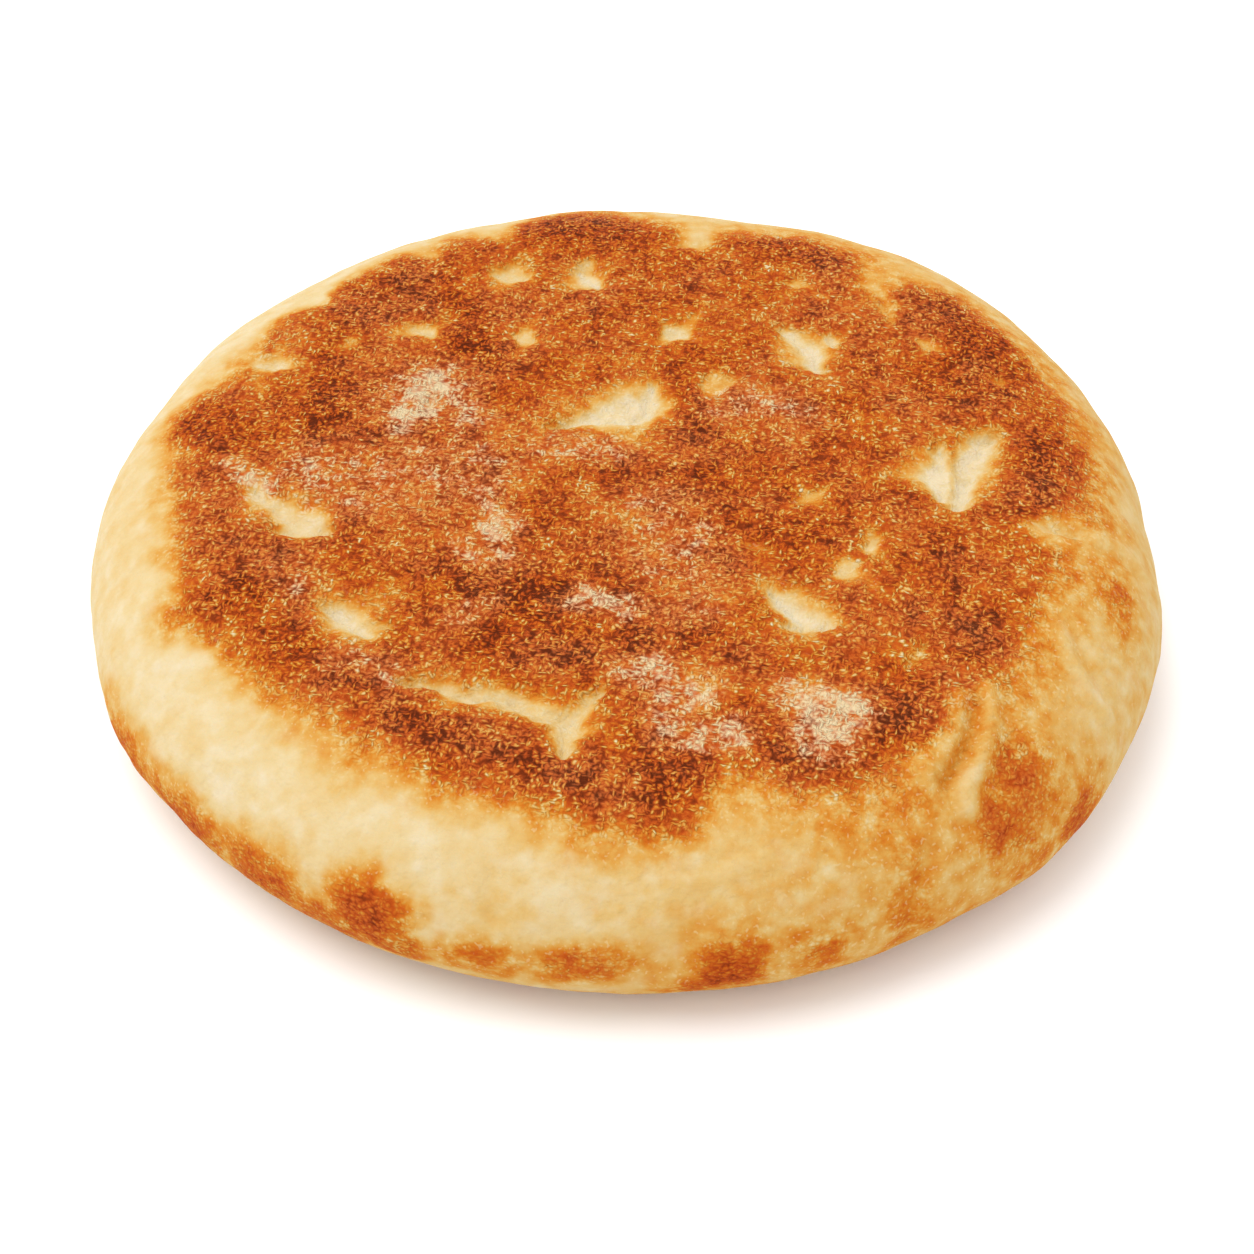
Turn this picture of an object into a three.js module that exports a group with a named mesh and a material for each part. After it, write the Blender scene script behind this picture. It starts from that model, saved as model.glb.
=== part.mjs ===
// A thick round pita bread, baked flat on a griddle: one piece of leavened dough.
//
// The loaf is a low cushion. Its top face is nearly level, where the dough was turned and pressed
// on the hot plate, and a full shoulder rolls down to the widest girth. Below the girth the heel
// curves in to the flat underside that the loaf rests on. Both faces are pitted where the dough
// shrank away from the plate between its bubbles.
//
// Millimetres, +Z up. The origin is under the middle of the loaf, on the surface it rests on.
import * as THREE from "three";
import { mergeVertices } from "three/addons/utils/BufferGeometryUtils.js";

// ---- Driving sizes ----
const RADIUS = 80; // mean radius of the girth
const THICKNESS = 30; // height of the middle of the top face
const GIRTH_HEIGHT = 12; // height at which the loaf is widest
const SHOULDER_REACH = 22; // from the rim of the top face out to the girth
const SHOULDER_FULLNESS = 2; // 2 is an ellipse, more is squarer
const HEEL_REACH = 16; // from the girth in to the edge of the flat underside
const CROWN = 1.2; // how much the middle of the loaf stands above an even slab

// Slow waves round the girth, which keep the hand-shaped round from being a circle.
// Each has so many peaks, rises so far above the mean radius, and peaks at a bearing in degrees.
const OUTLINE_WAVES = [
  { peaks: 2, rise: 0.55, bearing: 84 },
  { peaks: 3, rise: 0.5, bearing: 67 },
  { peaks: 4, rise: 0.55, bearing: 47 },
];

// Pits in a face. Each sinks round a line from one point to another, given as shares of the
// radius, so that a pit keeps its place on a larger or smaller loaf. A nearly round pit's line is short.
const TOP_PITS = [
  { from: [-0.12, 0.18], to: [-0.03, 0.21], reach: 10, depth: 1.6 },
  { from: [0.61, 0.02], to: [0.62, 0.11], reach: 8.5, depth: 2 },
  { from: [-0.68, -0.01], to: [-0.6, -0.11], reach: 7, depth: 1.4 },
  { from: [-0.5, -0.36], to: [-0.47, -0.36], reach: 8, depth: 1.6 },
  { from: [0.36, 0.42], to: [0.35, 0.45], reach: 8, depth: 1.5 },
  { from: [-0.22, 0.67], to: [-0.2, 0.67], reach: 7, depth: 1.3 },
  { from: [-0.08, 0.68], to: [-0.07, 0.69], reach: 7, depth: 1.3 },
  { from: [0.27, -0.31], to: [0.34, -0.36], reach: 7.5, depth: 1.6 },
  { from: [-0.34, -0.53], to: [-0.12, -0.58], reach: 6.5, depth: 2 },
  { from: [-0.11, -0.58], to: [-0.1, -0.7], reach: 6.5, depth: 1.8 },
];
const UNDERSIDE_PITS = [
  { from: [0.36, 0.16], to: [0.44, 0.1], reach: 11, depth: 1.4 },
  { from: [-0.22, 0.44], to: [-0.14, 0.5], reach: 10, depth: 1.5 },
  { from: [-0.46, -0.14], to: [-0.44, -0.2], reach: 12, depth: 1.6 },
  { from: [0.12, -0.5], to: [0.2, -0.48], reach: 10, depth: 1.3 },
];

// ---- Mesh fineness ----
const FACE_CELLS = 32; // cells across each face, and along a quarter of the girth
const SIDE_CELLS = 12; // cells from the top face's rim down to the underside's edge

const FACE_RADIUS = RADIUS - SHOULDER_REACH;
const UNDERSIDE_RADIUS = RADIUS - HEEL_REACH;

// The bearing of a point on a square's outline, spaced evenly as the square is pushed out to a circle.
function bearingOnSquare(x, y) {
  if (x === 0 && y === 0) return 0;
  if (Math.abs(x) >= Math.abs(y)) {
    return (Math.PI / 4) * (y / x) + (x < 0 ? Math.PI : 0);
  }
  return Math.PI / 2 - (Math.PI / 4) * (x / y) + (y < 0 ? Math.PI : 0);
}

// The loaf's section, as radius and height. Travel is 0 at the middle of the top face, 1 at its rim,
// 1.5 at the girth, 2 at the underside's edge and 3 at the middle of the underside. The shoulder
// is a quarter of a superellipse, and the heel a quarter of an ellipse.
function section(travel) {
  if (travel >= 2) {
    return { radius: (3 - travel) * UNDERSIDE_RADIUS, height: 0 };
  }
  if (travel > 1.5) {
    const slope = (travel - 1.5) * Math.PI;
    return {
      radius: UNDERSIDE_RADIUS + HEEL_REACH * Math.cos(slope),
      height: GIRTH_HEIGHT * (1 - Math.sin(slope)),
    };
  }
  const slope = travel <= 1 ? Math.PI / 2 : (1.5 - travel) * Math.PI;
  const power = 2 / SHOULDER_FULLNESS;
  const radius =
    travel <= 1
      ? travel * FACE_RADIUS
      : FACE_RADIUS + SHOULDER_REACH * Math.cos(slope) ** power;
  const slab = THICKNESS - GIRTH_HEIGHT - CROWN;
  const crown = CROWN * (1 - (radius / RADIUS) ** 2);
  return { radius, height: GIRTH_HEIGHT + slab * Math.sin(slope) ** power + crown };
}

// How far the outline stands from the mean radius at a bearing.
function outlineRise(bearing) {
  let rise = 0;
  for (const wave of OUTLINE_WAVES) {
    rise += wave.rise * Math.cos(wave.peaks * (bearing - THREE.MathUtils.degToRad(wave.bearing)));
  }
  return rise;
}

// Distance from a point to the line that a pit sinks round.
function distanceToPit(point, pit) {
  const start = new THREE.Vector2(...pit.from).multiplyScalar(RADIUS);
  const line = new THREE.Vector2(...pit.to).multiplyScalar(RADIUS).sub(start);
  const offset = point.clone().sub(start);
  const along = THREE.MathUtils.clamp(offset.dot(line) / line.lengthSq(), 0, 1);
  return offset.distanceTo(line.multiplyScalar(along));
}

// How deep a face is pitted at a point: each pit is a smooth bowl that ends at its reach.
function pitDepth(point, pits) {
  let depth = 0;
  for (const pit of pits) {
    const share = Math.min(distanceToPit(point, pit) / pit.reach, 1);
    depth = Math.max(depth, pit.depth * (1 - share ** 2) ** 2);
  }
  return depth;
}

// A box whose six faces are cut into cells, pushed out to the loaf's shape.
function loafGeometry() {
  const box = new THREE.BoxGeometry(2, 2, 2, FACE_CELLS, FACE_CELLS, SIDE_CELLS);
  box.deleteAttribute("normal");
  box.deleteAttribute("uv");
  const geometry = mergeVertices(box);
  const position = geometry.getAttribute("position");
  for (let i = 0; i < position.count; i += 1) {
    const [x, y, z] = [position.getX(i), position.getY(i), position.getZ(i)];
    const across = Math.max(Math.abs(x), Math.abs(y));
    const downSide = 1 + (1 - z) / 2;
    const onFace = z > 0 ? across : 3 - across;
    const travel = across < 1 ? onFace : downSide;
    const bearing = bearingOnSquare(x, y);
    const { radius, height } = section(travel);
    const reach = (radius * (RADIUS + outlineRise(bearing))) / RADIUS;
    const point = new THREE.Vector2(Math.cos(bearing), Math.sin(bearing)).multiplyScalar(reach);
    const lowered = travel <= 1.5 ? pitDepth(point, TOP_PITS) : 0;
    const raised = travel > 1.5 ? pitDepth(point, UNDERSIDE_PITS) : 0;
    position.setXYZ(i, point.x, point.y, height - lowered + raised);
  }
  geometry.computeBoundingBox();
  const middle = geometry.boundingBox.getCenter(new THREE.Vector3());
  geometry.translate(-middle.x, -middle.y, 0);
  geometry.computeVertexNormals();
  return geometry;
}

const crust = new THREE.MeshStandardMaterial({ color: 0xc98a48, roughness: 0.75, metalness: 0 });
const loaf = new THREE.Mesh(loafGeometry(), crust);
loaf.name = "pita_bread";

const bread = new THREE.Group();
bread.add(loaf);

export default bread;
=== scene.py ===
"""A thick round pita bread, baked flat on a griddle, lying on a plain pale table.

The loaf is one surface, worked out as whole arrays over the skin of a box that is pushed out to the
loaf's form. The same arrays say where the dough touched the hot plate, and so where it browned.
The loaf's lengths are in millimetres until its mesh is made, and places on it are shares of its
radius. The camera and the table are in metres.
"""

import bpy
import numpy as np
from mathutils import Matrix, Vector


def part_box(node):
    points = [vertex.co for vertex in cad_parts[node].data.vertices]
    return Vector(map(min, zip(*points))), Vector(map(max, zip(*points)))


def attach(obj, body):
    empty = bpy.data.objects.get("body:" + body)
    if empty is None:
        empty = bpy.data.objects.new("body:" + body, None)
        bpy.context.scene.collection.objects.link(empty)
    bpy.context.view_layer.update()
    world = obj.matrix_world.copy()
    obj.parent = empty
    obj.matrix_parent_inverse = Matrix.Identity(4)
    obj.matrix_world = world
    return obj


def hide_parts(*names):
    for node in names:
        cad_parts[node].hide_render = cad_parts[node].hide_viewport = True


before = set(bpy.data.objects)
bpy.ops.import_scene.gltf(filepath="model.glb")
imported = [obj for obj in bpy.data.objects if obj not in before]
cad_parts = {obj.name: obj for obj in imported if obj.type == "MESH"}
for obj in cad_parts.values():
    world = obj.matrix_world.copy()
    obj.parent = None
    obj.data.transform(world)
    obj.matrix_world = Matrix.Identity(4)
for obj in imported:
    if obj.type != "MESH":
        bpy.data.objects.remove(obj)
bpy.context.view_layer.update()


# ---- Camera ----
# A short telephoto lens on a stand in front of the loaf looks down at its top face, and a little
# past its front edge, so that the loaf fills the picture with its near side showing.
LENS = 85
CAMERA_ELEVATION = np.radians(41.45)
CAMERA_DISTANCE = 0.4399
# Where the lens aims, from the middle of the loaf.
AIM_RIGHT, AIM_NEARER, AIM_LOWER = 0.0004, 0.0082, 0.0085

loaf_low, loaf_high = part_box("pita_bread")
loaf_middle = (loaf_low + loaf_high) / 2
towards_camera = Vector((0, -np.cos(CAMERA_ELEVATION), np.sin(CAMERA_ELEVATION)))
stand = loaf_middle + CAMERA_DISTANCE * towards_camera
aim = loaf_middle + Vector((AIM_RIGHT, -AIM_NEARER, -AIM_LOWER))

camera = bpy.data.objects.new("camera", bpy.data.cameras.new("camera"))
camera.data.lens = LENS
camera.location = stand
camera.rotation_euler = (aim - stand).to_track_quat("-Z", "Y").to_euler()
bpy.context.scene.collection.objects.link(camera)
bpy.context.scene.camera = camera


# ---- The loaf: its form ----
# One round of leavened dough, patted flat and baked on a hot plate, first on one face and then on
# the other. It is a low cushion: a level top, a full shoulder, and a heel that curves in to the
# flat underside.
RADIUS = 1000 * (loaf_high - loaf_low).xy.length / np.sqrt(8)
THICKNESS = 1000 * (loaf_high.z - loaf_low.z)
GIRTH_HEIGHT = 12  # height at which the loaf is widest
SHOULDER_REACH = 22  # from the rim of the level top out to the girth
HEEL_REACH = 16  # from the girth in to the edge of the flat underside
CROWN = 1.2  # how much the middle of the top stands above an even slab
FACE_CELLS = 166  # cells across each face, and along a quarter of the girth
SIDE_CELLS = 66  # cells from the top's rim down to the underside's edge

# Slow waves round the girth: how many peaks, how far they rise, and the bearing of a peak.
OUTLINE_WAVES = [(2, 0.55, 84), (3, 0.5, 67), (4, 0.55, 47)]
# Places where the outline was pressed in or bulges out: bearing and half width in degrees, rise.
OUTLINE_LUMPS = [
    (162, 6, -0.4),
    (150, 14, -0.8),
    (147, 6, 0.7),
    (132, 7, -0.9),
    (228, 14, -0.8),
    (60, 8, -0.8),
    (98, 8, 0.6),
    (75, 11, -0.5),
    (50, 8, 0.6),
    (14, 11, -0.5),
]


def fade(value, start, end):
    """0 up to start and 1 from end, with 3t^2 - 2t^3 of the share t in between."""
    share = np.clip((value - start) / (end - start), 0, 1)
    return share * share * (3 - 2 * share)


def bell(share):
    """A bell curve, exp(-share^2), where share is how many half widths away the middle is."""
    return np.exp(-(share**2))


def turn_between(bearing, middle_degrees):
    """How far a bearing is from a middle one, in degrees, from -180 to 180."""
    return (np.degrees(bearing) - middle_degrees + 180) % 360 - 180


def box_skin(cells, rows):
    """The skin of a box cut into cells: its points, from -1 to 1 along each axis, and its quads.

    Each face is a grid of whole steps. The two faces across an axis share one grid, and the low one
    is wound the other way, so that every quad faces outwards. Points on shared edges are merged.
    """
    steps = (cells, cells, rows)
    points, quads, count = [], [], 0
    for axis in range(3):
        across, along = (axis + 1) % 3, (axis + 2) % 3
        i, j = np.meshgrid(np.arange(steps[across] + 1), np.arange(steps[along] + 1), indexing="ij")
        index = np.arange(i.size).reshape(i.shape)
        quad = np.stack([index[:-1, :-1], index[1:, :-1], index[1:, 1:], index[:-1, 1:]], axis=-1)
        quad = quad.reshape(-1, 4)
        for step in (0, steps[axis]):
            corners = np.empty((i.size, 3), int)
            corners[:, axis] = step
            corners[:, across] = i.ravel()
            corners[:, along] = j.ravel()
            points.append(corners)
            quads.append(count + (quad if step else quad[:, ::-1]))
            count += i.size
    merged, place = np.unique(np.concatenate(points), axis=0, return_inverse=True)
    return merged / (np.array(steps) / 2) - 1, place.ravel()[np.concatenate(quads)]


def bearing_on_square(x, y):
    """Bearing of a point on a square's outline.

    Each side of the square takes a quarter turn, in proportion to the distance along it.
    """
    wide = np.abs(x) >= np.abs(y)
    long_side = np.where(wide, x, y)
    share = np.where(wide, y, -x) / np.where(long_side == 0, 1, long_side)
    return np.pi / 4 * share + np.where(wide, 0, np.pi / 2) + np.where(long_side < 0, np.pi, 0)


def section(travel):
    """The loaf's section, as radius and height.

    Travel is 0 at the middle of the top, 1 at its rim, 1.5 at the girth, 2 at the underside's edge
    and 3 at the middle of the underside. Shoulder and heel are quarters of ellipses:
    radius = inner + reach * cos(slope), height = girth + rise * sin(slope).
    """
    face_radius = RADIUS - SHOULDER_REACH
    underside_radius = RADIUS - HEEL_REACH
    slope = (1.5 - np.clip(travel, 1, 2)) * np.pi
    reach = np.where(travel < 1.5, SHOULDER_REACH, HEEL_REACH)
    radius = np.where(travel < 1.5, face_radius, underside_radius) + reach * np.cos(slope)
    radius = np.where(travel < 1, travel * face_radius, radius)
    radius = np.where(travel > 2, (3 - travel) * underside_radius, radius)
    rise = np.where(travel < 1.5, THICKNESS - GIRTH_HEIGHT - CROWN, GIRTH_HEIGHT)
    crown = np.where(travel < 1.5, CROWN * (1 - (radius / RADIUS) ** 2), 0)
    return radius, GIRTH_HEIGHT + rise * np.sin(slope) + crown


def outline_share(bearing):
    """The outline's distance from the middle at a bearing, as a share of the radius.

    It is 1 plus the rise of the cosine waves and of the lumps' bell curves, over the radius.
    """
    rise = 0
    for peaks, crest, at in OUTLINE_WAVES:
        rise = rise + crest * np.cos(peaks * (bearing - np.radians(at)))
    for at, half_width, crest in OUTLINE_LUMPS:
        rise = rise + crest * bell(turn_between(bearing, at) / half_width)
    return 1 + rise / RADIUS


def loaf_form(bearing, travel):
    """The smooth loaf: the section, turned round the upright axis and stretched to the outline."""
    radius, height = section(travel)
    radius = radius * outline_share(bearing)
    return np.stack([radius * np.cos(bearing), radius * np.sin(bearing), height], axis=-1)


# A point of the box takes its bearing from its place on the square ring round the upright axis, and
# its travel from which ring it is on, over the top, down the side and in under the loaf.
box_points, quads = box_skin(FACE_CELLS, SIDE_CELLS)
across = np.abs(box_points[:, :2]).max(axis=1)
on_face = np.where(box_points[:, 2] > 0, across, 3 - across)
travel = np.where(across < 1, on_face, 1.5 - box_points[:, 2] / 2)
bearing = bearing_on_square(box_points[:, 0], box_points[:, 1])
form = loaf_form(bearing, travel)
plan = form[:, :2] / RADIUS
height = form[:, 2]
on_top = travel < 1.5

# The way out of the dough, square to the section: (-dz, dr) for a small step of travel.
SMALL_STEP = 0.002
ahead = np.stack(section(travel + SMALL_STEP))
behind = np.stack(section(travel - SMALL_STEP))
run, climb = (ahead - behind) / np.hypot(*(ahead - behind))
outward = np.stack([-climb * np.cos(bearing), -climb * np.sin(bearing), run], axis=-1)


# ---- The loaf: swells, pits and folds ----
# The dough rises unevenly, so its skin swells and sinks by a fraction of a millimetre. Where it
# shrank away from the plate between two bubbles it kept a pit, and where it was pinched shut or
# sagged over itself it kept a fold.


def swell(points, size, seed):
    """Smooth random height, from -1 to 1, with lumps of about the given size.

    Random values stand at the corners of cubes of that size, and a point takes those of its eight
    corners in shares that are products of 3t^2 - 2t^3.
    """
    lattice = np.random.default_rng(seed).uniform(-1, 1, (32, 32, 32))
    corner = np.floor(points / size).astype(int)
    share = fade(points / size - corner, 0, 1)
    total = 0
    for step in np.ndindex(2, 2, 2):
        weight = np.prod(np.where(step, share, 1 - share), axis=-1)
        i, j, k = np.moveaxis((corner + step) % 32, -1, 0)
        total = total + weight * lattice[i, j, k]
    return total


def rough(points, size, seed, layers=3):
    """Swells of one size with half-size swells of half the height laid on them, and so on."""
    return sum(swell(points, size / 2**k, seed + k) / 2**k for k in range(layers))


def away_from_line(points, corners):
    """How each point lies beside the straight stretches that join the corners.

    Gives the step to the point from the nearest point of the line, and how far along the whole line
    that nearest point is, from 0 to 1.
    """
    nearest = np.full(points.shape, np.inf)
    share = np.zeros(len(points))
    stretches = len(corners) - 1
    for k in range(stretches):
        line = corners[k + 1] - corners[k]
        along = np.clip((points - corners[k]) @ line / (line @ line), 0, 1)
        step = points - corners[k] - along[:, None] * line
        closer = np.linalg.norm(step, axis=1) < np.linalg.norm(nearest, axis=1)
        nearest = np.where(closer[:, None], step, nearest)
        share = np.where(closer, (k + along) / stretches, share)
    return nearest, share


# Pits in the top: the line that each sinks round, how far its floor reaches from the middle of the
# line, how deep it is, and how pale its floor stayed, from 0 for browned to 1 for white dough.
# Where lines cross they make one star-shaped pit.
TOP_PITS = [
    ([(-0.15, 0.14), (-0.06, 0.15), (0.04, 0.18)], 1.6, 1.7, 1.0),
    ([(-0.08, 0.16), (0.03, 0.20)], 3.6, 1.6, 1.0),
    ([(-0.02, 0.15), (0.03, 0.18), (0.04, 0.26)], 2.4, 2.0, 1.0),
    ([(0.57, -0.06), (0.57, 0.01), (0.58, 0.07)], 2.7, 1.7, 1.0),
    ([(0.59, -0.08), (0.63, 0.04), (0.67, 0.12)], 2.3, 2.3, 1.0),
    ([(-0.67, -0.03), (-0.62, -0.10), (-0.57, -0.15)], 1.8, 1.6, 0.9),
    ([(-0.62, -0.14), (-0.58, -0.13), (-0.54, -0.15)], 2.4, 1.7, 0.95),
    ([(-0.52, -0.34), (-0.48, -0.38), (-0.45, -0.42)], 2.7, 1.9, 1.0),
    ([(-0.49, -0.38), (-0.41, -0.40)], 1.8, 1.4, 0.75),
    ([(0.30, 0.42), (0.34, 0.37), (0.36, 0.31)], 2.4, 1.7, 1.0),
    ([(0.37, 0.41), (0.39, 0.36)], 1.7, 1.2, 0.9),
    ([(-0.25, 0.62), (-0.20, 0.60)], 2.5, 1.3, 0.9),
    ([(-0.09, 0.62), (-0.05, 0.58)], 2.6, 1.4, 1.0),
    ([(-0.09, 0.67), (-0.07, 0.60)], 1.6, 1.0, 0.8),
    ([(-0.41, 0.46), (-0.39, 0.43)], 2.1, 1.0, 0.8),
    ([(-0.21, 0.41), (-0.18, 0.40)], 1.9, 0.8, 0.85),
    ([(0.08, 0.44), (0.11, 0.41)], 2.1, 1.1, 0.95),
    ([(0.14, 0.26), (0.20, 0.26)], 1.9, 0.9, 0.65),
    ([(-0.70, 0.34), (-0.65, 0.32)], 3.0, 1.0, 1.0),
    ([(-0.54, 0.38), (-0.51, 0.39)], 1.4, 0.6, 0.55),
    ([(0.25, -0.32), (0.29, -0.37), (0.34, -0.41)], 2.6, 1.8, 1.0),
    ([(0.27, -0.40), (0.35, -0.41)], 1.5, 1.6, 0.9),
    ([(0.37, -0.28), (0.40, -0.25)], 2.0, 0.9, 0.85),
    ([(0.42, -0.20), (0.45, -0.19)], 1.7, 0.9, 0.85),
    ([(0.21, -0.20), (0.25, -0.21)], 1.4, 0.6, 0.5),
    ([(0.32, -0.07), (0.35, -0.05)], 1.6, 0.5, 0.65),
    ([(0.47, -0.50), (0.51, -0.45)], 1.3, 0.9, 0.5),
    ([(0.73, -0.13), (0.80, -0.15)], 2.0, 1.1, 0.8),
    ([(0.70, 0.29), (0.72, 0.28)], 1.5, 0.7, 0.6),
    ([(0.57, 0.40), (0.60, 0.38)], 1.5, 0.6, 0.6),
    ([(0.32, 0.57), (0.34, 0.56)], 1.5, 0.5, 0.6),
    ([(0.47, 0.58), (0.49, 0.52), (0.51, 0.46)], 1.2, 0.7, 0.5),
    ([(0.11, 0.70), (0.16, 0.74)], 1.6, 0.8, 0.6),
    ([(-0.38, 0.21), (-0.36, 0.20)], 1.1, 0.8, 0.45),
    ([(-0.38, -0.53), (-0.24, -0.57), (-0.14, -0.60), (-0.09, -0.63)], 1.5, 2.0, 0.9),
    ([(-0.16, -0.61), (-0.11, -0.63), (-0.05, -0.56)], 1.7, 1.6, 0.85),
    ([(-0.11, -0.60), (-0.11, -0.71)], 1.6, 1.7, 0.9),
]
UNDERSIDE_PITS = [
    ([(0.36, 0.16), (0.40, 0.14), (0.46, 0.08)], 5.0, 1.4, 1.0),
    ([(-0.24, 0.42), (-0.18, 0.47), (-0.13, 0.52)], 4.4, 1.5, 0.9),
    ([(-0.47, -0.12), (-0.45, -0.18), (-0.44, -0.24)], 5.2, 1.6, 1.0),
    ([(0.10, -0.50), (0.22, -0.48)], 4.4, 1.3, 0.8),
]
PIT_SLOPE = 2.7  # a pit's wall ends at this many times the reach of its floor
PIT_TAPER = 0.6  # share by which a pit is narrower at the ends of its line
PIT_GLOW = 1.3  # how many reaches a pit's paleness takes to die away
PIT_ARMS = 0.36  # share by which a pit's ragged edge swings in and out
ARM_SIZE = 3.4  # breadth of the arms of a ragged edge
# The loaf was dragged forwards as it was turned, so a pit's front wall is steeper by this share.
STEEPER_FRONT = 0.22

# Folds and creases: how far the dough rises or sinks there, how wide, and the line, as bearing in
# degrees and travel.
FOLDS = [
    (0.9, 2.2, [(-46, 1.08), (-49.5, 1.12), (-52.8, 1.15), (-56.4, 1.17)]),
    (-1.2, 1.2, [(-44.6, 1.10), (-48.2, 1.15), (-51.2, 1.18), (-54.5, 1.205)]),
    (1.5, 1.6, [(-42.4, 1.10), (-45.8, 1.155), (-49.4, 1.20), (-52.4, 1.23), (-53.8, 1.27)]),
    (-0.35, 1.3, [(-55.0, 1.26), (-55.4, 1.30), (-55.6, 1.353)]),
    (-0.6, 1.4, [(-58.9, 1.323), (-61.8, 1.416), (-62.5, 1.479), (-63.2, 1.593)]),
    (0.55, 1.4, [(-27.2, 1.139), (-30, 1.178), (-30.9, 1.22), (-31.8, 1.271), (-31.4, 1.349)]),
    (-0.35, 1.3, [(-26.0, 1.15), (-28.6, 1.19), (-29.4, 1.23), (-30.3, 1.28), (-30.0, 1.35)]),
    (0.45, 1.6, [(-84.1, 1.268), (-80.6, 1.254), (-78.8, 1.236), (-76.9, 1.233)]),
    (-0.5, 1.0, [(-84.4, 1.25), (-80.8, 1.236), (-78.9, 1.218), (-76.9, 1.215)]),
    (-0.55, 3.2, [(-83.5, 1.32), (-84.9, 1.406), (-86.4, 1.447), (-89.5, 1.53)]),
    (-0.35, 1.8, [(-103.5, 1.27), (-103.1, 1.37)]),
    (0.3, 1.2, [(-9.6, 1.17), (-8.6, 1.243), (-9.4, 1.303), (-9.8, 1.336)]),
    (-0.35, 1.0, [(-11.5, 1.18), (-10.6, 1.243), (-11.4, 1.303)]),
    (-0.4, 2.4, [(11, 1.24), (6, 1.33), (4, 1.42)]),
]

# Lines on the skin bend and fray, so distances are measured from a slightly shifted place.
FRAY = 1.2  # how far a line on the top strays
FOLD_STRAY = 0.25  # how far a fold's line strays along each axis
fray = np.stack([rough(form, 6, seed, layers=4) for seed in (11, 31)], axis=-1) * FRAY / RADIUS
frayed_plan = plan + fray


def pit_maps(pits):
    """Depth and paleness at every point of the face.

    Away is the distance from a pit's line in reaches of its floor, where the reach shrinks towards
    the ends by taper * (2 * share - 1)^2, and arms make it swing from place to place. The pit is a
    funnel (1 - away * steeper / slope)^2, where steeper is more than 1 in front of the line and
    less behind it. Its paleness is 1 up to half a reach, and exp(-(away - 0.5) / glow) beyond.
    """
    depth = np.zeros(len(plan))
    pale = np.zeros(len(plan))
    arms = 1 + PIT_ARMS * rough(form, ARM_SIZE, 29)
    for corners, reach, deep, whiteness in pits:
        step, share = away_from_line(frayed_plan, np.array(corners))
        away = np.linalg.norm(step, axis=1)
        steeper = 1 - STEEPER_FRONT * step[:, 1] / np.maximum(away, 1e-6)
        tapered = reach * (1 - PIT_TAPER * (2 * share - 1) ** 2)
        away = away * RADIUS / tapered * arms
        depth = np.maximum(depth, deep * (1 - np.minimum(away * steeper / PIT_SLOPE, 1)) ** 2)
        pale = np.maximum(pale, whiteness * np.exp(-np.maximum(away - 0.5, 0) / PIT_GLOW))
    return depth, pale


top_depth, top_pale = pit_maps(TOP_PITS)
underside_depth, underside_pale = pit_maps(UNDERSIDE_PITS)

# Each fold is a ridge or a groove, a bell curve across its line. Its groove is darkened in the
# colour as painted shade, and its ridge is paled as a painted highlight.
folded = np.zeros(len(form))
groove_shade_mask = np.zeros(len(form))
ridge_highlight_mask = np.zeros(len(form))
for rise, width, corners in FOLDS:
    line = loaf_form(np.radians([at for at, _ in corners]), np.array([down for _, down in corners]))
    step, _ = away_from_line(form + FOLD_STRAY * rough(form, 4, 5)[:, None], line)
    nearness = bell(np.linalg.norm(step, axis=1) / width)
    folded = folded + rise * nearness
    if rise < 0:
        groove_shade_mask = np.maximum(groove_shade_mask, nearness * min(-rise, 1))
    else:
        ridge_highlight_mask = np.maximum(ridge_highlight_mask, nearness * min(rise, 1))

# The skin swells most on the side, where no plate pressed on it, and it puckers in the pits. The
# loaf's weight keeps the underside from swelling at all.
on_side = fade(travel, 0.9, 1.2) * (1 - fade(travel, 1.85, 2))
broad_swells = (0.30 + 0.35 * on_side) * swell(form, 19, 3)
small_swells = (0.16 + 0.06 * on_side) * rough(form, 8, 7)
puckers = 0.5 * top_pale * rough(form, 2.8, 17)
pitted = np.where(on_top, top_depth, underside_depth)
lift = broad_swells + small_swells + puckers + folded - pitted
lift = np.where(travel > 2, np.minimum(lift, 0), lift)


# ---- The loaf: where it browned ----
# What touched the plate toasted to an orange brown, darkest where it pressed hardest. The rim of
# the browned cap is a band of gold. Pits and the side stayed pale, and flour from the board stuck
# in patches. Toast runs from 0 for raw dough to 1 for scorched.
RIM = 0.832  # mean radius of the browned cap, as a share of the loaf's
HAZE = 4.8  # breadth of the gold band
GOLD, BROWN = 0.32, 0.51  # how toasted the band and the cap are
# Bays where the pale dough reaches in over the rim: bearing, half width in degrees, how far. Where
# it is less than 0 the browned cap bulges out.
RIM_BAYS = [
    (167, 5, -4.5),
    (154, 4, 1.5),
    (138, 3, 3.5),
    (120, 3, 2.5),
    (108, 3, 4.5),
    (98, 7, -3.6),
    (85, 4, 2.0),
    (79, 3, 8.0),
    (72, 4, 2.5),
    (50, 5, 7.5),
    (20, 22, -3.0),
    (348, 4, 5.0),
    (336, 13, 4.0),
    (304, 9, -1.5),
    (284, 5, 6.0),
    (272, 9, -3.5),
    (231, 13, 3.0),
    (205, 4, -3.0),
]
# Where the rim is a broad haze of gold: bearing, half width in degrees, extra breadth.
RIM_HAZE = [
    (135, 22, -3.2),
    (337, 24, 7),
    (291, 9, 7),
    (232, 12, 5),
    (154, 7, 3),
    (50, 9, 4),
    (95, 8, 3),
]

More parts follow.
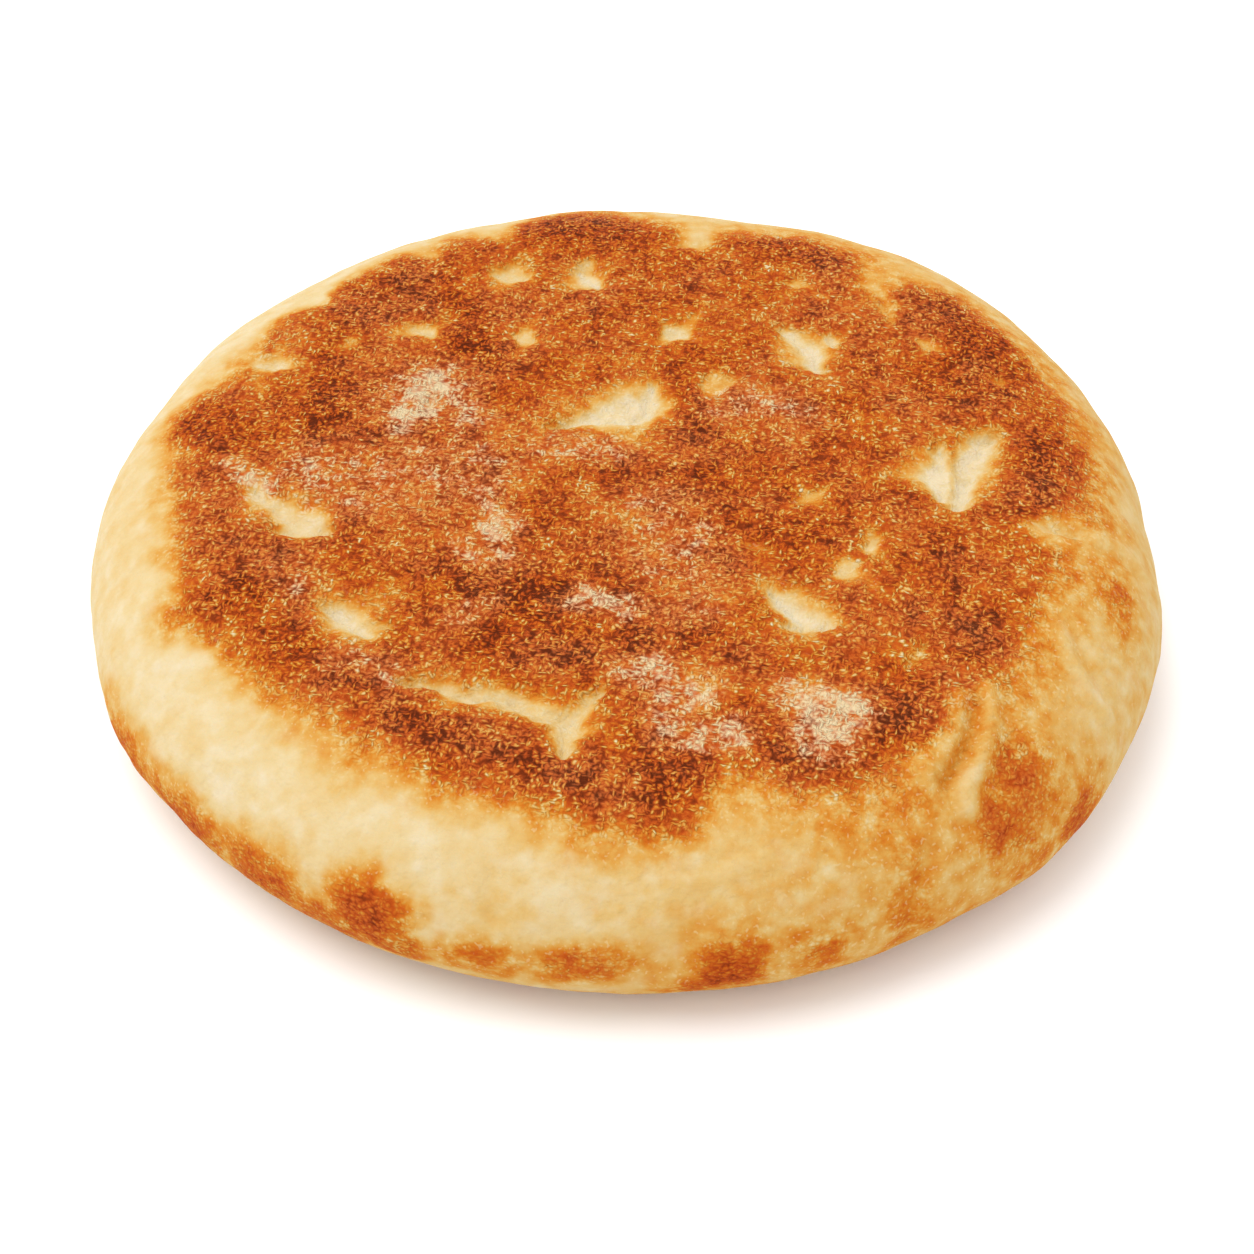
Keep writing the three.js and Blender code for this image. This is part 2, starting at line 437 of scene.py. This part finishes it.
# Darker patches on the top: the line that each lies round, how far it reaches, and how dark it is.
SCORCHES = [
    ([(-0.77, 0.17), (-0.64, 0.15)], 8, 0.14),
    ([(-0.77, -0.35), (-0.64, -0.31)], 7, 0.10),
    ([(-0.30, 0.41), (-0.24, 0.30)], 7, 0.10),
    ([(-0.57, 0.21), (-0.49, 0.14)], 6, 0.16),
    ([(0.11, 0.12), (0.13, 0.20)], 6, 0.32),
    ([(-0.01, -0.01), (0.01, 0.06)], 4, 0.26),
    ([(-0.24, -0.31), (-0.15, -0.35)], 6, 0.38),
    ([(-0.24, -0.44), (-0.09, -0.47)], 5, 0.22),
    ([(-0.57, -0.47), (-0.39, -0.51)], 5, 0.18),
    ([(-0.37, -0.64), (-0.21, -0.69), (-0.10, -0.77)], 5, 0.22),
    ([(0.04, -0.68), (0.09, -0.83)], 6, 0.26),
    ([(0.22, -0.75), (0.39, -0.75)], 5, 0.32),
    ([(0.46, -0.63), (0.54, -0.69)], 6, 0.32),
    ([(0.61, -0.44), (0.66, -0.38)], 5, 0.20),
    ([(0.72, -0.04), (0.77, 0.06)], 6, 0.20),
    ([(0.67, 0.39), (0.67, 0.24)], 7, 0.16),
    ([(0.56, 0.60), (0.64, 0.51)], 7, 0.20),
    ([(0.28, 0.72), (0.41, 0.68)], 6, 0.26),
    ([(-0.18, 0.77), (-0.03, 0.79)], 6, 0.24),
    ([(-0.54, 0.50), (-0.39, 0.56)], 8, 0.14),
    ([(0.03, -0.43), (0.21, -0.46)], 5, 0.20),
    ([(0.51, -0.33), (0.59, -0.21)], 6, 0.14),
]
# Floury patches on the top: line, reach and strength.
FLOURED = [
    ([(-0.40, 0.17), (-0.37, 0.26)], 7.0, 1.0),
    ([(-0.32, 0.23), (-0.29, 0.16)], 5.0, 0.6),
    ([(-0.24, -0.11), (-0.23, -0.15)], 4.0, 1.0),
    ([(-0.29, -0.20), (-0.24, -0.23)], 3.5, 0.6),
    ([(0.02, -0.52), (0.11, -0.57)], 4.5, 0.8),
    ([(0.06, -0.65), (0.17, -0.67)], 4.5, 0.8),
    ([(0.30, -0.58), (0.36, -0.62), (0.32, -0.67)], 5.5, 1.0),
    ([(-0.07, -0.34), (0.00, -0.36)], 3.5, 0.7),
    ([(0.06, -0.11), (0.10, -0.33)], 8.0, 0.40),
    ([(0.19, 0.21), (0.31, 0.18)], 6.0, 0.50),
    ([(-0.59, -0.03), (-0.30, 0.01)], 11.0, 0.45),
    ([(-0.72, 0.03), (-0.66, -0.04)], 3.0, 0.8),
    ([(-0.14, 0.07), (-0.04, 0.06)], 4.5, 0.50),
    ([(-0.49, -0.48), (-0.40, -0.52)], 3.5, 0.55),
    ([(-0.29, -0.39), (-0.24, -0.35)], 3.0, 0.50),
    ([(-0.59, -0.25), (-0.56, -0.35)], 5.0, 0.35),
    ([(0.56, -0.53), (0.58, -0.65)], 4.0, 0.30),
]
# Marks on the side where it leaned on the plate or the oven's wall: bearing, height, half length
# round the loaf, half height, and how brown.
SIDE_MARKS = [
    (-152, 11.0, 12.0, 6.0, 0.40),
    (-140, 10.5, 13.0, 6.8, 0.44),
    (-128, 12.0, 10.0, 7.0, 0.46),
    (-120, 10.5, 9.0, 6.0, 0.42),
    (-115.5, 15.5, 6.6, 5.4, 0.62),
    (-113, 11.0, 7.0, 4.5, 0.48),
    (-104, 12.0, 8.0, 4.0, 0.32),
    (-95, 12.5, 10.0, 4.4, 0.42),
    (-80.5, 12.0, 6.2, 6.4, 0.60),
    (-84, 8.0, 5.0, 4.5, 0.44),
    (-72, 12.5, 5.2, 4.4, 0.37),
    (-62.5, 13.5, 3.0, 8.0, 0.30),
    (-51, 19.5, 4.8, 4.6, 0.48),
    (-46, 22.0, 7.4, 6.0, 0.46),
    (-49, 18.5, 7.0, 6.0, 0.40),
    (-47, 13.5, 5.5, 5.0, 0.28),
    (-40, 12.0, 5.5, 6.4, 0.52),
    (-18, 24.5, 8.5, 4.0, 0.34),
    (74, 9.0, 11.0, 5.5, 0.46),
    (118, 11.0, 9.0, 6.0, 0.42),
    (28, 8.0, 10.0, 5.0, 0.38),
    (161, 9.0, 10.0, 5.0, 0.42),
]


def patch_map(patches):
    """Strength at every point of the top: each patch fades out round its line."""
    strength = np.zeros(len(plan))
    for corners, reach, strong in patches:
        step, _ = away_from_line(frayed_plan, np.array(corners))
        away = np.linalg.norm(step, axis=1) * RADIUS / reach
        strength = np.maximum(strength, strong * (1 - fade(away, 0.2, 1.3)))
    return strength


rim = np.full(len(plan), RIM * RADIUS)
for at, half_width, inwards in RIM_BAYS:
    rim = rim - inwards * bell(turn_between(bearing, at) / half_width)
haze = np.full(len(plan), HAZE)
for at, half_width, breadth in RIM_HAZE:
    haze = haze + breadth * bell(turn_between(bearing, at) / half_width)
# How far inside the rim a point is, and how toasted that makes the top.
inside_rim = rim - np.linalg.norm(frayed_plan, axis=1) * RADIUS + 0.8 * rough(form, 3, 23)
cap = GOLD * fade(inside_rim, -haze, 2.6) + (BROWN - GOLD) * fade(inside_rim, -0.5, 6)
cloudiness = 0.12 * swell(form, 13, 41) + 0.15 * rough(form, 5, 43)
top_flour = patch_map(FLOURED) * fade(inside_rim, 0, 3)
top_toast = cap * (1 + cloudiness + 1.1 * patch_map(SCORCHES) - 0.3 * top_flour)
top_toast = top_toast * (1 - 0.98 * top_pale)

# How golden the untoasted side is, by bearing in degrees: partly the dough's own gold and partly
# painted shade, most on the front and right, away from the light, and least on the lit left. Over a
# ridge the colour is paler by a share, as a painted highlight.
RIDGE_HIGHLIGHT = 0.6
SIDE_GOLD_AND_SHADE = [
    (-180, 0.06),
    (-140, 0.03),
    (-110, 0.05),
    (-90, 0.09),
    (-60, 0.21),
    (-30, 0.12),
    (0, 0.12),
    (40, 0.14),
    (90, 0.10),
    (140, 0.05),
    (180, 0.06),
]
side_gold_and_shade = np.interp(turn_between(bearing, 0), *zip(*SIDE_GOLD_AND_SHADE))
side_gold_and_shade = side_gold_and_shade * (1 - RIDGE_HIGHLIGHT * ridge_highlight_mask)
side_gold_and_shade = side_gold_and_shade + 0.025 * rough(form, 9, 91) + 0.015 * rough(form, 2.5, 93)

# The heel is golden below a wavering line, and from the underside's edge inwards it is as brown as
# the cap.
HEEL_TOP = 14  # no gold of the heel stands higher
heel_line = 8.5 + 2.6 * swell(form, 26, 51) + 1.2 * rough(form, 6, 53)
heel = 0.16 * (1 - fade(height, heel_line - 5, heel_line + 3)) + 0.36 * fade(travel, 1.78, 1.98)
heel = heel * (1 + 1.5 * cloudiness)
side_toast = np.zeros(len(form))
girth = outline_share(bearing) * RADIUS
shifted = form + 1.4 * np.stack([rough(form, 6, seed) for seed in (61, 67, 71)], axis=-1)
for at, up, half_length, half_height, brown in SIDE_MARKS:
    round_loaf = np.radians(turn_between(np.arctan2(shifted[:, 1], shifted[:, 0]), at)) * girth
    away = np.hypot(round_loaf / half_length, (shifted[:, 2] - up) / half_height)
    side_toast = np.maximum(side_toast, brown * (1 - fade(away, 0.15, 1.45)))
side_toast = side_toast * fade(travel, 1, 1.1)
side_toast = np.maximum(side_toast, np.where(on_top & (height > HEEL_TOP), 0, heel))
side_toast = side_toast * np.where(travel > 1.9, 1 - underside_pale, 1)
toast = np.maximum(np.where(on_top, top_toast, 0), side_toast)
# Painted highlight: the colour is paler over the ridges of the folds.
toast = toast * (1 - RIDGE_HIGHLIGHT * ridge_highlight_mask)
# The side's gold, partly painted shade, fades out where the dough is toasted.
toast = np.clip(toast + side_gold_and_shade * (1 - fade(toast, 0, 0.3)) * fade(travel, 0.9, 1.1), 0, 1)
flour = np.where(on_top, top_flour, 0)

# How thick the mat of the crust grew: full where the loaf lay on the plate, thin in the pits and on
# the marks of the side. It stands a little proud, except beneath the loaf.
matted = np.maximum(fade(toast, 0.12, 0.42), np.where(on_top, 0.3 * top_pale, 0))
matted = matted * (1 - 0.45 * fade(travel, 1.1, 1.3) * (1 - fade(travel, 1.85, 2)))
crust_relief = 0.16 * matted * rough(form, 2.2, 83, layers=2)
lift = lift + np.where(travel > 1.95, 0, crust_relief)


# ---- The loaf: its crust ----
# Toasted dough skin. Under a lens the brown crust is a mat of tiny pale curls and blisters over
# darker gaps, partly its own colour and partly a painted highlight on the crests and painted shade
# in the gaps; the gold rim is sprinkled with light specks, and the pale dough is smooth and dusty.
BRIGHTNESS = 1.7  # how much light falls on a level surface, where 1 shows a white one just white


def paint(red, green, blue):
    """The colour of a surface that looks like these values, from 0 to 255, in that light."""
    shown = np.array([red, green, blue]) / 255
    linear = np.where(shown <= 0.04045, shown / 12.92, ((shown + 0.055) / 1.055) ** 2.4)
    return (*linear / BRIGHTNESS, 1.0)


# Dough from raw to scorched: how toasted it is, and its colour.
TOASTING = [
    (0.00, paint(250, 230, 190)),
    (0.04, paint(246, 219, 163)),
    (0.11, paint(242, 201, 126)),
    (0.20, paint(238, 178, 86)),
    (0.31, paint(232, 146, 46)),
    (0.42, paint(224, 120, 32)),
    (0.53, paint(218, 103, 28)),
    (0.66, paint(200, 82, 23)),
    (0.82, paint(154, 60, 18)),
    (1.00, paint(106, 41, 13)),
]
# What lies on it: each colour, and the most of the dough that it covers.
# The curls' colour is partly their own and partly a painted highlight on the crests.
CURL_HIGHLIGHT, CURL_HIGHLIGHT_COVER = paint(248, 178, 112), 0.55
FLOUR, FLOUR_COVER = paint(251, 226, 178), 0.95
SPECK, SPECK_COVER = paint(255, 226, 168), 0.4
DUST, DUST_COVER = paint(254, 240, 206), 0.35
RELIEF_HEIGHT = 0.001  # metres that a relief of 1 stands proud

crust = bpy.data.materials.new("baked_crust")
crust.use_nodes = True
crust_nodes = crust.node_tree
shader = crust_nodes.nodes["Principled BSDF"]


def add_node(kind, inputs, **settings):
    """Adds a node, sets its settings, and gives each named input a value or a link."""
    made = crust_nodes.nodes.new(kind)
    for name, value in settings.items():
        setattr(made, name, value)
    for name, value in inputs.items():
        if isinstance(value, bpy.types.NodeSocket):
            crust_nodes.links.new(value, made.inputs[name])
        else:
            made.inputs[name].default_value = value
    return made


def work_out(operation, *values):
    """The result of one step of arithmetic on numbers or sockets."""
    return add_node("ShaderNodeMath", dict(enumerate(values)), operation=operation).outputs[0]


def fade_in(value, start, end, low=0.0, high=1.0):
    """A socket that goes smoothly from low to high as the value goes from start to end."""
    inputs = {"Value": value, "From Min": start, "From Max": end, "To Min": low, "To Max": high}
    return add_node("ShaderNodeMapRange", inputs, interpolation_type="SMOOTHSTEP").outputs["Result"]


def mix_colour(share, under, over):
    """The over colour laid on the under colour in a share. A colour mix has these at 6 and 7."""
    made = add_node("ShaderNodeMix", {"Factor": share}, data_type="RGBA")
    for socket, value in ((made.inputs[6], under), (made.inputs[7], over)):
        if isinstance(value, bpy.types.NodeSocket):
            crust_nodes.links.new(value, socket)
        else:
            socket.default_value = value
    return made.outputs[2]


place = add_node("ShaderNodeTexCoord", {}).outputs["Object"]


def grain(size, shift, detail):
    """Cloudy noise from 0 to 1 with lumps of a size in millimetres, shifted so no two are alike."""
    inputs = {"Vector": place, "Scale": (1000 / size,) * 3, "Location": (shift, 2 * shift, -shift)}
    at = add_node("ShaderNodeMapping", inputs).outputs["Vector"]
    inputs = {"Vector": at, "Scale": 1.0, "Detail": detail}
    return add_node("ShaderNodeTexNoise", inputs).outputs["Fac"]


# The flecks are curled, so their pattern is read from places that noise bends by up to 0.4 mm.
bending = add_node("ShaderNodeTexNoise", {"Vector": place, "Scale": 800.0, "Detail": 1.0})
bend = add_node(
    "ShaderNodeVectorMath",
    {0: bending.outputs["Color"], 1: (0.0008, 0.0008, 0.0008), 2: place},
    operation="MULTIPLY_ADD",
)
bent_place = bend.outputs["Vector"]


def flecks(length, width, turn, shift):
    """Grains of dough lying one way, from 0 in the gaps to 1 on the highest crests.

    Each is a cell of a Voronoi pattern, stretched to a length and width in millimetres and turned
    by some degrees. It is highest at its middle, and some are higher than others.
    """
    inputs = {"Vector": bent_place, "Rotation": (0, 0, np.radians(turn))}
    turned = add_node("ShaderNodeMapping", inputs).outputs["Vector"]
    inputs = {
        "Vector": turned,
        "Scale": (1000 / length, 1000 / width, 1000 / width),
        "Location": (shift, 2 * shift, -shift),
    }
    at = add_node("ShaderNodeMapping", inputs).outputs["Vector"]
    cells = add_node("ShaderNodeTexVoronoi", {"Vector": at, "Scale": 1.0})
    crest = fade_in(cells.outputs["Distance"], 0.10, 0.62, 1.0, 0.0)
    return work_out("MULTIPLY", crest, fade_in(cells.outputs["Color"], 0.1, 0.9, 0.35, 1.0))


toasted = add_node("ShaderNodeAttribute", {}, attribute_name="toast").outputs["Fac"]
floured = add_node("ShaderNodeAttribute", {}, attribute_name="flour").outputs["Fac"]
# The crease attribute carries painted shade in the grooves of the folds.
crease_painted_shade = add_node("ShaderNodeAttribute", {}, attribute_name="crease").outputs["Fac"]
crusty = add_node("ShaderNodeAttribute", {}, attribute_name="mat").outputs["Fac"]

# The mat of the crust: curled flecks that lie every way over each other, over darker gaps.
mat = flecks(1.7, 0.6, 10, 3.3)
for layer in ((1.2, 0.8, 55, 7.9), (1.7, 0.6, 100, 14.1), (1.2, 0.8, 145, 22.7)):
    mat = work_out("MAXIMUM", mat, flecks(*layer))

# How toasted each spot is: the slow pattern, lighter on the crests of the mat and darker in its
# gaps, partly the crust's own colour and partly painted highlight and painted shade, darker in the
# creases as painted shade, and frayed by the grain.
painted_gap_shade = work_out("MULTIPLY", work_out("SUBTRACT", 0.45, mat), crusty)
fray_share = fade_in(toasted, 0.04, 0.32, 0.12, 0.85)
fraying = work_out("MULTIPLY", work_out("SUBTRACT", grain(2.6, 3.1, 4.0), 0.5), fray_share)
painted_shade_factor = work_out("MULTIPLY_ADD", painted_gap_shade, 1.1, 1.0)
local_toast = work_out("MULTIPLY_ADD", toasted, painted_shade_factor, fraying)
local_toast = work_out("MULTIPLY_ADD", painted_gap_shade, 0.12, local_toast)
local_toast = work_out("MULTIPLY_ADD", crease_painted_shade, 0.07, local_toast)

ramp = add_node("ShaderNodeValToRGB", {"Fac": local_toast})
while len(ramp.color_ramp.elements) < len(TOASTING):
    ramp.color_ramp.elements.new(1.0)
for stop, (level, colour) in zip(ramp.color_ramp.elements, TOASTING):
    stop.position = level
    stop.color = colour
colour = ramp.outputs["Color"]

# Paler curls on the crests, partly their own colour and partly a painted highlight, here and there
# and thickest where there is flour.
patchy = fade_in(grain(9.0, 27.7, 3.0), 0.35, 0.70, 0.0, 0.28)
curl_highlight_cover = work_out("MINIMUM", work_out("MULTIPLY_ADD", floured, 0.9, patchy), CURL_HIGHLIGHT_COVER)
curl_highlight_cover = work_out("MULTIPLY", work_out("MULTIPLY", curl_highlight_cover, mat), crusty)
colour = mix_colour(curl_highlight_cover, colour, CURL_HIGHLIGHT)

# Crumbs of flour, in clumps and on the crests, within the floury patches.
crumbs = work_out("MULTIPLY_ADD", grain(2.8, 35.1, 4.0), 1.5, work_out("MULTIPLY", mat, 0.5))
floury = work_out("MULTIPLY_ADD", floured, 0.7, crumbs)
clumps = fade_in(floury, 1.24, 1.88, 0.0, FLOUR_COVER)
colour = mix_colour(work_out("MULTIPLY", clumps, fade_in(floured, 0.0, 0.4)), colour, FLOUR)

# Light specks on what is golden, and none on what is pale or brown.
specks = fade_in(grain(0.5, 51.9, 0.0), 0.64, 0.78)
not_pale = fade_in(toasted, 0.07, 0.2)
not_brown = fade_in(toasted, 0.2, 0.45, SPECK_COVER, 0.0)
speck_cover = work_out("MULTIPLY", work_out("MULTIPLY", specks, not_pale), not_brown)
colour = mix_colour(speck_cover, colour, SPECK)

# A dusting of flour on the pale dough.
dusting = fade_in(grain(4.0, 61.3, 5.0), 0.45, 0.70, 0.0, DUST_COVER)
dust_cover = work_out("MULTIPLY", dusting, fade_in(toasted, 0.06, 0.20, 1.0, 0.0))
colour = mix_colour(dust_cover, colour, DUST)
crust_nodes.links.new(colour, shader.inputs["Base Color"])

# The mat stands proud of the skin, on top of two sizes of grain.
relief = work_out("MULTIPLY", mat, fade_in(crusty, 0.0, 1.0, 0.02, 0.38))
relief = work_out("MULTIPLY_ADD", grain(2.6, 83.1, 4.0), 0.36, relief)
relief = work_out("MULTIPLY_ADD", grain(1.1, 97.3, 2.0), 0.22, relief)
bump = add_node("ShaderNodeBump", {"Height": relief, "Strength": 1.0, "Distance": RELIEF_HEIGHT})
crust_nodes.links.new(bump.outputs["Normal"], shader.inputs["Normal"])
shader.inputs["Roughness"].default_value = 0.7
shader.inputs["Specular IOR Level"].default_value = 0.03
shader.inputs["Subsurface Weight"].default_value = 0.1
shader.inputs["Subsurface Radius"].default_value = (1.0, 0.5, 0.22)
shader.inputs["Subsurface Scale"].default_value = 0.002

# The skin is the form moved out or in by the lift. It is stretched by a hair to the frame's box
# across and from front to back, and kept at or above the table.
skin = form + outward * lift[:, None]
form_low, form_high = form.min(axis=0), form.max(axis=0)
frame_low, frame_high = np.array(loaf_low) * 1000, np.array(loaf_high) * 1000
stretch = (frame_high - frame_low)[:2] / (form_high - form_low)[:2]
skin[:, :2] = (skin[:, :2] - form_low[:2]) * stretch + frame_low[:2]
skin[:, 2] = np.maximum(skin[:, 2], frame_low[2])

mesh = bpy.data.meshes.new("baked_loaf")
mesh.from_pydata(skin / 1000, [], quads)
mesh.shade_smooth()
for name, values in (("toast", toast), ("mat", matted), ("flour", flour), ("crease", groove_shade_mask)):
    attribute = mesh.attributes.new(name, "FLOAT", "POINT")
    attribute.data.foreach_set("value", values.astype(np.float32))
mesh.materials.append(crust)

loaf = bpy.data.objects.new("baked_loaf", mesh)
bpy.context.scene.collection.objects.link(loaf)
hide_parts("pita_bread")
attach(loaf, "root")


# ---- The table ----
# A plain white table top, wide enough to fill every view, that the loaf lies on.
TABLE_HALF = 3.0
TABLE_WHITE = 0.93
square = ((-1, -1), (1, -1), (1, 1), (-1, 1))
corners = [(TABLE_HALF * x, TABLE_HALF * y, loaf_low.z) for x, y in square]
table_mesh = bpy.data.meshes.new("table_top")
table_mesh.from_pydata(corners, [], [(0, 1, 2, 3)])
white = bpy.data.materials.new("white_table")
white.use_nodes = True
table_shader = white.node_tree.nodes["Principled BSDF"]
table_shader.inputs["Base Color"].default_value = (TABLE_WHITE, TABLE_WHITE, TABLE_WHITE, 1)
table_shader.inputs["Roughness"].default_value = 0.9
table_shader.inputs["Specular IOR Level"].default_value = 0.1
table_mesh.materials.append(white)
table = bpy.data.objects.new("table_top", table_mesh)
bpy.context.scene.collection.objects.link(table)


# ---- Light ----
# One very broad soft light high on the left and a little behind, in a bright white room.
SUN_FROM = Vector((-0.44, 0.1, 1.0))
SUN_SHARE = 0.27  # of the light on a level surface; the rest comes evenly from the whole room
SUN_BREADTH = np.radians(50)  # how wide the light looks from the table
sun = bpy.data.objects.new("soft_light", bpy.data.lights.new("soft_light", "SUN"))
sun.data.energy = np.pi * SUN_SHARE * BRIGHTNESS / SUN_FROM.normalized().z
sun.data.angle = SUN_BREADTH
sun.rotation_euler = SUN_FROM.to_track_quat("Z", "Y").to_euler()
bpy.context.scene.collection.objects.link(sun)

room = bpy.data.worlds.new("white_room")
room.use_nodes = True
room_light = room.node_tree.nodes["Background"]
room_light.inputs["Color"].default_value = (1, 1, 1, 1)
room_light.inputs["Strength"].default_value = (1 - SUN_SHARE) * BRIGHTNESS
bpy.context.scene.world = room
bpy.context.scene.view_settings.view_transform = "Standard"
